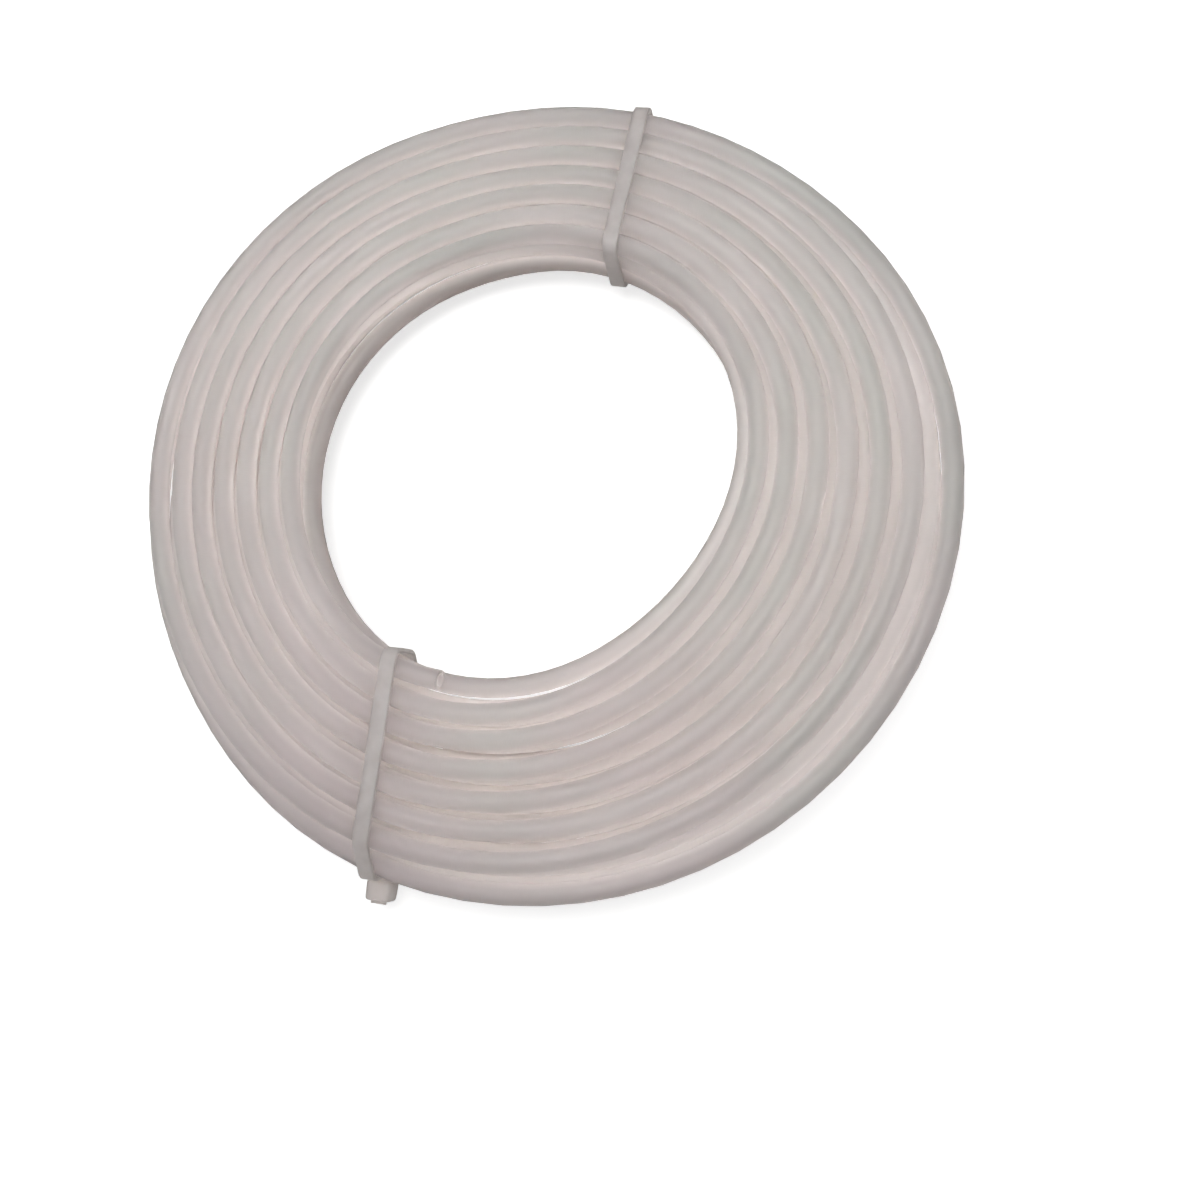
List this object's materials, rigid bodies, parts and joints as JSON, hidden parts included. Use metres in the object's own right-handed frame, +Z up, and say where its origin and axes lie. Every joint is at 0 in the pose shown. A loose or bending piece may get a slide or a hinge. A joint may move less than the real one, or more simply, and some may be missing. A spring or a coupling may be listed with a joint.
{
  "type": "vacuum hose",
  "caption": "Coil of small-bore translucent plastic vacuum hose, wound flat in layers, open at both ends and bound across the bundle with cable ties.",
  "frame": {"origin": "on the ground, under the middle of the coil's length and breadth", "axes": "+Z up, through the eye of the coil; the hose's visible end and its tie lie on the -X -Y side"},
  "size_m": [0.2478, 0.26, 0.0291],
  "materials": {
    "hose_plastic": "milky, half see-through polyethylene with a soft sheen",
    "tie_plastic": "natural nylon, half see-through, satin"
  },
  "bodies": {
    "coil": {"hose": "hose_plastic", "cable_tie_by_hose_end": "tie_plastic", "cable_tie_opposite": "tie_plastic"},
    "pawl_by_hose_end": {"tie_pawl_by_hose_end": "tie_plastic"},
    "pawl_opposite": {"tie_pawl_opposite": "tie_plastic"}
  },
  "joints": [
    {"name": "pawl_release_by_hose_end", "type": "hinge", "parent": "coil", "child": "pawl_by_hose_end", "pos_m": [-0.1112, -0.06806, 0.0081], "axis": [0.6884, -0.7254, 0], "range_deg": [0, 10], "stiffness_Nm_per_rad": 0.0005},
    {"name": "pawl_release_opposite", "type": "hinge", "parent": "coil", "child": "pawl_opposite", "pos_m": [0.10899, 0.06275, 0.0081], "axis": [-0.606, 0.7955, 0], "range_deg": [0, 10], "stiffness_Nm_per_rad": 0.0005}
  ]
}
